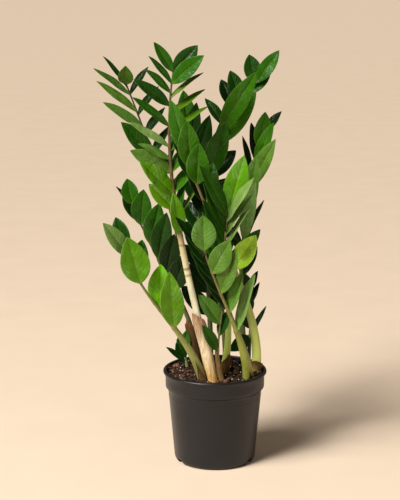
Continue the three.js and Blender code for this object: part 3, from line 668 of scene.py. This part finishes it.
def grow_blade(body, leaf):
    """One leaflet: two pillowed halves that rise from a sunken midrib to thin edges."""
    d, upper, _ = blade_frame(leaf)
    seed, length, fold = leaf["seed"], leaf["length"], math.sin(math.radians(BLADE["fold"]))
    level = math.cos(math.radians(BLADE["fold"]))
    twist = math.radians(BLADE["twist"]) * scatter(seed + 0.1)
    phase = TURN * scatter(seed + 0.2)
    skew = BLADE["skew"] * scatter(seed + 0.3)
    tint, rib, margin = leaf_tints(leaf)

    def corner(u, v, side):
        turn = Matrix.Rotation(twist * u, 3, d)
        n = turn @ upper
        s = d.cross(n)
        full = leaf["width"] / 2 * outline(u) * (1 + skew * math.copysign(1, v))
        half = (full ** 4 + BLADE["neck"] ** 4) ** 0.25 if u < 0.5 else full
        a = abs(v)
        rise = half * fold * (a + BLADE["pillow"] * a * (1 - a))
        ripple = math.sin(TURN * BLADE["waves"] * u + phase * (1 + 0.2 * v))
        rise += BLADE["wave"] * length * ripple * a * a * u * (1 - u) * 4
        sunken = smooth(0.02, 0.15, u) * smooth(1, 0.8, u)
        rise -= BLADE["groove"] * math.exp(-(a / BLADE["groove_width"]) ** 2) * sunken
        rise -= BLADE["curl"] * length * u * u
        thick = (BLADE["thickness"] + BLADE["rib"] * (1 - u) ** BLADE["rib_fade"]) / 2
        keel = BLADE["keel"] * math.exp(-(a / BLADE["keel_width"]) ** 2) * (1 - u)
        keel = keel if side < 0 else 0
        lift = side * (thick * math.sqrt(max(0, 1 - a ** 4)) + keel)
        place = leaf["root"] + d * (length * u) + n * (rise + lift) + s * (half * v * level)
        middle = math.exp(-(a / BLADE["rib_width"]) ** 2)
        colour = mixed(tint, rib, 0.75 * middle * smooth(0.95, 0.3, u))
        colour = mixed(colour, rib, 0.6 * smooth(0.16, 0.03, u))
        colour = mixed(colour, margin, smooth(BLADE["margin"], 1, a))
        return body.point(place, colour, (u, a, (side + 1) / 2))

    columns = BLADE["columns"]
    low = [*reversed(columns[:-1]), *(-v for v in columns[1:-1])]
    rings = []
    for k in range(BLADE["stations"]):
        u = 0.5 * (1 - math.cos(math.pi * (k + 0.15) / (BLADE["stations"] + 0.15)))
        ring = [corner(u, 1, 0)] + [corner(u, v, -1) for v in low]
        ring += [corner(u, -1, 0)] + [corner(u, -v, 1) for v in low]
        rings.append(ring)
    body.rings(rings)
    body.face(tuple(reversed(rings[0])))
    body.fan(rings[-1], body.point(blade_tip(leaf), tint, (1, 0, 0.5)))


def leaf_tints(leaf):
    """The leaflet's own green, that of its midrib and that of its margin."""
    seed = leaf["seed"]
    colour = shaded(leaf["colour"], 1 + 0.12 * scatter(seed + 0.4))
    warm = 1 + 0.08 * scatter(seed + 0.5)
    colour = (colour[0] * warm, colour[1], colour[2])
    clear = smooth(0.02, 0.2, colour[1])
    rib = mixed(colour, RIB_GREEN, lerp(0.08, 0.42, clear))
    margin = mixed(colour, MARGIN_GREEN, lerp(0.12, 0.3, clear))
    return colour, rib, margin


def frond_leaves(frond, index, curve):
    """The leaflets as planned: the single ones first, then the ranks with small draws."""
    keys = ("t", "lean", "fore", "roll", "length", "width")
    leaves = []
    for *values, shade in frond["single"]:
        leaves.append({**dict(zip(keys, values)), "loose": 0, "colour": SHADES[shade]})
    for count, *pairs, shade in frond["ranks"]:
        for k in range(count):
            values = [lerp(*pair, k / (count - 1)) for pair in pairs]
            leaves.append({**dict(zip(keys, values)), "loose": 1, "colour": SHADES[shade]})
    for k, leaf in enumerate(leaves):
        seed = index * 97 + k * 7
        draws = [leaf["loose"] * scatter(seed + n) for n in (1, 2, 3, 4)]
        leaf["lean"] += SCATTER["lean"] * draws[0]
        leaf["fore"] += SCATTER["fore"] * draws[1]
        leaf["roll"] += SCATTER["roll"] * draws[2]
        leaf["length"] *= 1 + SCATTER["length"] * draws[3]
        leaf.update(root=curve.at(leaf["t"]), seed=seed)
    return leaves


def settled(leaf, packed):
    """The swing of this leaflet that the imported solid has, or None if it has none."""
    for k in range(SEARCH["tries"]):
        reach = SEARCH["step"] * math.sqrt(k)
        trial = {**leaf, "lean": leaf["lean"] + reach * math.cos(k * GOLDEN),
                 "fore": leaf["fore"] + reach * math.sin(k * GOLDEN)}
        if packed.find(blade_tip(trial))[2] < SEARCH["match"]:
            return trial
    return None


def packed_corners(name):
    """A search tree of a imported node's corners, in millimetres."""
    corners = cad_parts[name].data.vertices
    tree = kdtree.KDTree(len(corners))
    for corner in corners:
        tree.insert(corner.co / MM, corner.index)
    tree.balance()
    return tree


def grow_fronds(leaf_look, stem_look):
    for index, frond in enumerate(FRONDS):
        node_name = "frond_" + frond["name"]
        curve = Curve(frond)
        packed = packed_corners(node_name)
        planned = frond_leaves(frond, index, curve)
        leaves = [leaf for leaf in (settled(one, packed) for one in planned) if leaf]
        body = Body()
        grow_stem(body, frond, curve, [leaf["t"] for leaf in leaves])
        for leaf in leaves:
            grow_blade(body, leaf)
        piece = body.object(frond["name"] + "_frond", [leaf_look, stem_look])
        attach(piece, "root")
        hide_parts(node_name)


# ---- the husks

# The four sheaths that the solids hold: the share of the stem that they cover, the angle
# their middle faces, the arc they wrap, the room round the stem at the foot and at the
# mouth, the height of the mouth's tip, its place across the arc from -0.5 to 0.5, and the
# display colours at the foot, halfway and at the mouth.
SHEATHS = [
    {"name": "front_tall", "span": (0, 0.195), "facing": -80, "arc": (250, 210),
     "room": (0.7, 3), "point": 0.19, "crest": -0.38,
     "tints": ((234, 184, 102), (242, 230, 192), (214, 172, 138))},
    {"name": "leaning", "span": (0, 0.06), "facing": -100, "arc": (250, 230),
     "room": (0.9, 1.4), "point": 0.2, "crest": 0,
     "tints": ((164, 150, 84), (138, 118, 64), (66, 44, 24))},
    {"name": "centre", "span": (0, 0.09), "facing": -60, "arc": (240, 150),
     "room": (0.7, 1.3), "point": 0.4, "crest": 0,
     "tints": ((124, 98, 48), (118, 88, 44), (100, 70, 38))},
    {"name": "left", "span": (0, 0.22), "facing": -90, "arc": (240, 190),
     "room": (0.7, 3.6), "point": 0.25, "crest": -0.2,
     "tints": ((74, 56, 26), (60, 43, 16), (84, 62, 32))},
]
# Scales and scars that lie on a stem's foot and that the solids leave out.
SCALES = [
    {"name": "front_left", "span": (0.0, 0.085), "facing": -88, "arc": (100, 40),
     "room": (0.1, 0.4), "point": 0.8, "crest": 0,
     "tints": ((150, 122, 72), (128, 98, 60), (100, 72, 46))},
    {"name": "front_right", "span": (0.0, 0.04), "facing": -70, "arc": (76, 30),
     "room": (0.1, 0.5), "point": 1.2, "crest": 0,
     "tints": ((124, 96, 58), (108, 76, 52), (88, 58, 42))},
    {"name": "young_front", "span": (0.02, 0.3), "facing": -110, "arc": (250, 110),
     "room": (0.3, 1.2), "point": 0.6, "crest": -0.3,
     "tints": ((124, 112, 62), (110, 94, 52), (122, 98, 62))},
]
SHEATH = {"thickness": 0.9, "columns": 40, "rings": 34, "sink": 9, "bulge": 1.07,
          "narrowing": 0.5, "ribs": 0.32, "crease": 0.5, "ragged": 0.05, "flare": 1.1}
SCALE = {"thickness": 0.5, "sink": 2}
STAIN = srgb(150, 82, 44)


def sheet_relief(husk, share, offset):
    """How far this place of a sheet is raised, stands out in relief and flares."""
    ribs = SHEATH["ribs"] * noise.noise(Vector((offset * 34, share * 1.5, 1)))
    crease = SHEATH["crease"] * noise.noise(Vector((offset * 7, share * 4, 10)))
    ragged = SHEATH["ragged"] * noise.noise(Vector((offset * 22, 3.3, 1))) * share ** 6
    away = abs(offset - husk["crest"]) / (0.5 + abs(husk["crest"]))
    peak = husk["point"] * share ** 3 * (1 - away) + ragged
    flare = SHEATH["flare"] * share ** 5 * abs(2 * offset) ** 2
    return peak, (ribs + crease) * min(1, share * 6), flare


def sheet_tint(husk, share, offset):
    """The sheet's colour, stained at its mouth, at both edges and down its right half."""
    foot, middle, mouth = (srgb(*tint) for tint in husk["tints"])
    if share < 0.5:
        tint = mixed(foot, middle, 2 * share)
    else:
        tint = mixed(middle, mouth, 2 * share - 1)
    edge = smooth(0.9, 1, share) + 0.6 * smooth(0.9, 1, abs(2 * offset))
    edge += 0.8 * smooth(0.3, 0.8, 2 * offset)
    return mixed(tint, STAIN, min(0.5, 0.45 * edge))


def grow_husk(husk, frond, sink, thickness):
    """A curved papery sheet with a ragged mouth and long ribs."""
    body = Body()
    curve = Curve(frond)
    start, end = husk["span"]
    levels = [start - sink / curve.length * k / 3 for k in (3, 2, 1)]
    levels += [lerp(start, end, k / SHEATH["rings"]) for k in range(SHEATH["rings"] + 1)]
    rings = []
    for t in levels:
        share = max(0, (t - start) / (end - start))
        inner = stem_radius(frond, t) * SHEATH["bulge"] + lerp(*husk["room"], share)
        arc = math.radians(lerp(*husk["arc"], share) * (1 - SHEATH["narrowing"] * share ** 4))
        point, along, right, back = curve.station(t)
        ring = []
        for side, order in ((1, 1), (0, -1)):
            for k in range(SHEATH["columns"] + 1)[::order]:
                offset = k / SHEATH["columns"] - 0.5
                angle = math.radians(husk["facing"]) + arc * offset
                peak, relief, flare = sheet_relief(husk, share, offset)
                radius = inner + side * thickness + relief + flare
                place = point + along * peak * (end - start) * curve.length
                place += (right * math.cos(angle) + back * math.sin(angle)) * radius
                tint = sheet_tint(husk, share, offset)
                ring.append(body.point(place, tint, (share, offset + 0.5, side)))
        rings.append(ring)
    body.rings(rings)
    columns = SHEATH["columns"]
    for ring, flip in ((rings[0], False), (rings[-1], True)):
        for k in range(columns):
            quad = (ring[k], ring[2 * columns + 1 - k], ring[2 * columns - k], ring[k + 1])
            body.face(quad[::-1] if flip else quad)
    return body


def wrap_husks(look):
    fronds = {frond["name"]: frond for frond in FRONDS}
    for husk in SHEATHS:
        body = grow_husk(husk, fronds[husk["name"]], SHEATH["sink"], SHEATH["thickness"])
        piece = body.object(husk["name"] + "_husk", [look])
        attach(piece, "root")
        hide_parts("sheath_" + husk["name"])
    for scale in SCALES:
        body = grow_husk(scale, fronds[scale["name"]], SCALE["sink"], SCALE["thickness"])
        piece = body.object(scale["name"] + "_scale", [look])
        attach(piece, "root")


# ---- the pot


def arc_points(centre, radius, start, end, count):
    """Points of a rounded edge in the pot's profile, angles in degrees."""
    angles = [math.radians(lerp(start, end, k / (count - 1))) for k in range(count)]
    return [(centre[0] + radius * math.cos(a), centre[1] + radius * math.sin(a)) for a in angles]


def pot_profile():
    """Radius and height of each corner: from the axis out underneath, up, over and in."""
    foot, band, lip, top = (POT[part + "_radius"] for part in ("foot", "band", "lip", "wall_top"))
    wall_foot, wall_low, wall_top = POT["wall_foot_radius"], POT["corner_height"], POT["wall_top"]
    height, thick, band_foot = POT["height"], POT["wall"], POT["band_foot"]
    lip_foot = height - POT["lip_height"]
    bead = POT["lip_height"] / 2
    wall = [lerp(wall_low, wall_top, k / 24) for k in range(1, 24)]
    slope = (top - wall_foot) / (wall_top - wall_low)

    def bulge(z, centre):
        return math.exp(-((z - centre) / SEAM["width"]) ** 2)

    def wall_radius(z):
        seam = SEAM["depth"] * (bulge(z, SEAM["ridge"]) - bulge(z, SEAM["groove"]))
        return wall_foot + slope * (z - wall_low) + seam

    rings = sorted([*wall, *SEAM["levels"]])
    return [
        (0, 0), (foot - 8, 0), (foot - 1, 0), (foot, 0.15), (foot + 1.3, 0.8),
        (foot + 2.6, 2.0), (foot + 3.6, 3.7), (wall_foot, wall_low),
        *[(wall_radius(z), z) for z in rings],
        (top, wall_top), (top + 0.5, wall_top + 0.1),
        (band - 0.5, band_foot - 0.1), (band, band_foot + 0.5), (band + 0.1, 116),
        (band + 0.15, 123), (band + 0.2, lip_foot - 0.8), (band + 0.8, lip_foot - 0.1),
        *arc_points((lip - bead, lip_foot + bead), bead, -70, 100, 12),
        *arc_points((band, height - 1.3), 1.3, 80, 170, 5),
        (band - thick, height - 3), (band - thick, 120), (band - thick, band_foot + 1),
        (top - thick, wall_top - 1), (wall_foot - thick, wall_low),
        (foot - 1, POT["floor"]), (0, POT["floor"]),
    ]


def turned(body, profile, sides):
    """A profile turned about the upright axis; its two ends lie on the axis."""
    tint = (0, 0, 0)
    rings = [[body.point((x, y, z), tint) for x, y in circle(radius, sides)]
             for radius, z in profile[1:-1]]
    body.rings(rings)
    body.fan(rings[0][::-1], body.point((0, 0, profile[0][1]), tint))
    body.fan(rings[-1], body.point((0, 0, profile[-1][1]), tint))


def prism(name, ring, low, high, turn):
    """A flat-shaded cutter over a ring of points, turned about the pot's axis."""
    count = len(ring)
    spin = Matrix.Rotation(turn, 3, "Z")
    points = [spin @ Vector((x, y, z)) * MM for z in (low, high) for x, y in ring]
    sides = [(k, (k + 1) % count, count + (k + 1) % count, count + k) for k in range(count)]
    ends = [tuple(range(count))[::-1], tuple(range(count, 2 * count))]
    mesh = bpy.data.meshes.new(name)
    mesh.from_pydata(points, [], sides + ends)
    return add_object(name, mesh)


def pot_cutters():
    inner, outer = NOTCH["radii"]
    half = NOTCH["width"] / 2
    notch = [(inner, -half), (outer, -half), (outer, half), (inner, half)]
    made = []
    for k in range(NOTCH["count"]):
        turn = math.radians(NOTCH["first"] + 360 * k / NOTCH["count"])
        made.append(prism(f"notch_{k}", notch, -NOTCH["below"], NOTCH["height"], turn))
    drain = [(DRAIN["ring"] + x, y) for x, y in circle(DRAIN["radius"], DRAIN["sides"])]
    for k in range(DRAIN["count"]):
        turn = TURN * (k + 0.5) / DRAIN["count"]
        made.append(prism(f"drain_{k}", drain, -POT["floor"], 2 * POT["floor"], turn))
    return made


def make_pot(look):
    body = Body()
    turned(body, pot_profile(), POT["sides"])
    pot = body.object("pot_shell", [look])
    cutters = pot_cutters()
    for one in cutters:
        cut = pot.modifiers.new(one.name, "BOOLEAN")
        cut.operation, cut.solver, cut.object = "DIFFERENCE", "EXACT", one
    graph = bpy.context.evaluated_depsgraph_get()
    shape = bpy.data.meshes.new_from_object(pot.evaluated_get(graph))
    pot.modifiers.clear()
    pot.data = shape
    for one in cutters:
        bpy.data.objects.remove(one)
    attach(pot, "root")
    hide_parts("pot")


# ---- the soil


def soil_height(x, y):
    heap = math.radians(SOIL["heap_angle"])
    to_heap = (x * math.cos(heap) + y * math.sin(heap)) / POT["band_radius"]
    waves = math.sin(x * 0.21 + 1.3) * math.cos(y * 0.17 - 0.4)
    ripple = waves + 0.6 * math.sin(x * 0.11 - y * 0.27)
    return SOIL["level"] + SOIL["heap"] * max(0, to_heap) + SOIL["roughness"] * ripple


def crumbs(x, y):
    """Fine crumbly relief of the soil."""
    coarse = noise.noise(Vector((x * 0.22, y * 0.22, 5)))
    fine = noise.noise(Vector((x * 0.7, y * 0.7, 11)))
    return 1.3 * coarse + 0.8 * fine


PEAT = srgb(38, 25, 16)


def make_soil_bed(look):
    body = Body()
    rings = []
    for k in range(SOIL["rings"]):
        ring = []
        for x, y in circle(SOIL["radius"] * (1 - k / SOIL["rings"]), SOIL["sides"]):
            z = soil_height(x, y) - SOIL["bed_drop"] + crumbs(x, y)
            share = 0.5 + noise.noise(Vector((x, y, 3)) * 0.4)
            ring.append(body.point((x, y, z), mixed(PEAT, srgb(66, 44, 30), share)))
        rings.append(ring)
    foot = [body.point((x, y, SOIL["bed_foot"]), PEAT)
            for x, y in circle(SOIL["radius"], SOIL["sides"])]
    body.rings([foot] + rings)
    peak = (0, 0, soil_height(0, 0) - SOIL["bed_drop"])
    body.fan(rings[-1], body.point(peak, srgb(50, 34, 22)))
    body.face(tuple(reversed(foot)))
    piece = body.object("soil_bed", [look])
    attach(piece, "root")
    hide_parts("soil")


def free_spots(count, room, shift=0):
    """Numbered places on a sunflower spiral, less those where a stem stands."""
    feet = [(frond["through"][0], frond["girth"][0]) for frond in FRONDS]
    for k in range(count):
        place = k + shift
        radius = (SOIL["radius"] - SOIL["border"]) * math.sqrt((place + 0.5) / count)
        angle = place * GOLDEN + 0.25 * scatter(place + 40)
        x, y = radius * math.cos(angle), radius * math.sin(angle)
        if all(math.hypot(x - foot[0], y - foot[1]) >= girth + room for foot, girth in feet):
            yield k, x, y


CHIP_TINTS = ((58, 37, 26), (78, 51, 34), (40, 28, 21), (106, 73, 50), (30, 22, 17),
              (68, 42, 29))


def add_chip(body, seed, x, y, size, tint):
    """A splinter of bark: a bent, ragged slab, thinner towards its ends."""
    length, width = size, size * between(CHIPS["width"], seed + 1)
    height = between(CHIPS["height"], seed + 2)
    spin = Matrix.Rotation(math.pi * scatter(seed + 3), 3, "Z")
    tilt = Matrix.Rotation(CHIPS["tilt"] * scatter(seed + 4), 3, "X")
    nod = Matrix.Rotation(CHIPS["nod"] * scatter(seed + 5), 3, "Y")
    turn = spin @ tilt @ nod
    ground = Vector((x, y, soil_height(x, y) + between(CHIPS["lift"], seed + 6)))
    bend = CHIPS["bend"] * scatter(seed + 7)
    rings = []
    for k in range(GRAIN["rings"]):
        along = k / (GRAIN["rings"] - 1) - 0.5
        taper = 1 - abs(2 * along) ** 3 * 0.6
        ring = []
        for step in range(GRAIN["sides"]):
            angle = TURN * step / GRAIN["sides"]
            rough = 1 + CHIPS["rough"] * scatter(seed + 10 + k * GRAIN["sides"] + step)
            sag = bend * length * along * along * 2
            local = Vector((length * along * (1 + 0.1 * scatter(seed + step)),
                            width / 2 * taper * rough * math.cos(angle),
                            height / 2 * taper * rough * math.sin(angle) + sag))
            colour = shaded(tint, 1 + 0.15 * scatter(seed + k))
            ring.append(body.point(ground + turn @ local, colour))
        rings.append(ring)
    body.tube(rings)


def make_chips(look):
    body = Body()
    for k, x, y in free_spots(CHIPS["count"], CHIPS["room"]):
        sizes = CHIPS["small"] if k % CHIPS["big_every"] else CHIPS["big"]
        tint = srgb(*CHIP_TINTS[k % len(CHIP_TINTS)])
        add_chip(body, 61 * k, x, y, between(sizes, k + 100), tint)
    piece = body.object("soil_chips", [look])
    for polygon in piece.data.polygons:
        polygon.use_smooth = False
    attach(piece, "root")


def make_perlite(look):
    """White grains scattered in the soil."""
    body = Body()
    for k, x, y in free_spots(PERLITE["count"], PERLITE["room"], 0.37):
        size = between(PERLITE["size"], k + 800)
        centre = Vector((x, y, soil_height(x, y) + between(PERLITE["lift"], k + 900)))
        rings = []
        for level in range(1, GRAIN["rings"]):
            polar = math.pi * level / GRAIN["rings"]
            ring = []
            for across, back in circle(math.sin(polar), GRAIN["sides"]):
                way = Vector((across, back, -math.cos(polar)))
                lump = size * (1 + 0.35 * noise.noise(way * 1.7 + Vector((k, 0, 0))))
                ring.append(body.point(centre + way * lump, srgb(222, 214, 200)))
            rings.append(ring)
        body.tube(rings)
    piece = body.object("soil_perlite", [look])
    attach(piece, "root")


# ---- the stage

CAMERA = {"place": (-21.6, -1952.9, 718.6), "pitch": 11.8, "lens": 100.8, "sensor": 36,
          "reach": 200}
SUN = {"way": (0.75, 0.62, -1.05), "energy": 3.5, "angle": 28, "colour": (1.0, 0.95, 0.88)}
# Area lights: name, place, aim, size, power and colour, in metres and watts.
LAMPS = [
    ("window", (-1.4, -1.4, 1.7), (0, 0, 0.35), 0.6, 30, (1.0, 0.98, 0.94)),
    ("bounce", (1.6, -1.2, 0.9), (0, 0, 0.3), 1.2, 2, (1.0, 0.98, 0.95)),
]
WORLD_STRENGTH = 0.17
FLOOR_REACH = 60


def make_camera():
    camera = bpy.data.cameras.new("camera")
    camera.sensor_fit = "VERTICAL"
    camera.sensor_height = CAMERA["sensor"]
    camera.lens = CAMERA["lens"]
    camera.clip_end = CAMERA["reach"]
    scene.camera = add_object("camera", camera)
    scene.camera.location = Vector(CAMERA["place"]) * MM
    scene.camera.rotation_euler = (math.radians(90 - CAMERA["pitch"]), 0, 0)


def hang_light(lamp, place, way):
    holder = add_object(lamp.name, lamp)
    holder.location = place
    holder.rotation_euler = Vector(way).to_track_quat("-Z", "Y").to_euler()


def make_stage(look):
    floor = bpy.data.meshes.new("floor")
    far = FLOOR_REACH
    corners = [(-far, -far, 0), (far, -far, 0), (far, far, 0), (-far, far, 0)]
    floor.from_pydata(corners, [], [(0, 1, 2, 3)])
    floor.materials.append(look)
    plane = add_object("floor", floor)

    sun = bpy.data.lights.new("sun", "SUN")
    sun.energy, sun.angle, sun.color = SUN["energy"], math.radians(SUN["angle"]), SUN["colour"]
    hang_light(sun, (0, 0, 0), SUN["way"])
    for name, place, aim, size, power, colour in LAMPS:
        lamp = bpy.data.lights.new(name, "AREA")
        lamp.shape, lamp.size, lamp.energy, lamp.color = "DISK", size, power, colour
        hang_light(lamp, place, Vector(aim) - Vector(place))

    world = bpy.data.worlds.new("studio")
    world.use_nodes = True
    backdrop = world.node_tree.nodes["Background"]
    backdrop.inputs["Color"].default_value = (*srgb(244, 226, 204), 1)
    backdrop.inputs["Strength"].default_value = WORLD_STRENGTH
    scene.world = world


scene.view_settings.view_transform = "Standard"
make_camera()
make_stage(floor_material())
make_pot(pot_material())
make_soil_bed(soil_material("soil_peat", 260, (0.5, 1.5)))
make_chips(soil_material("soil_bark", 480, (0.6, 1.4)))
make_perlite(soil_material("soil_perlite", 700, (0.88, 1.05)))
wrap_husks(husk_material())
grow_fronds(leaf_material(), stem_material())
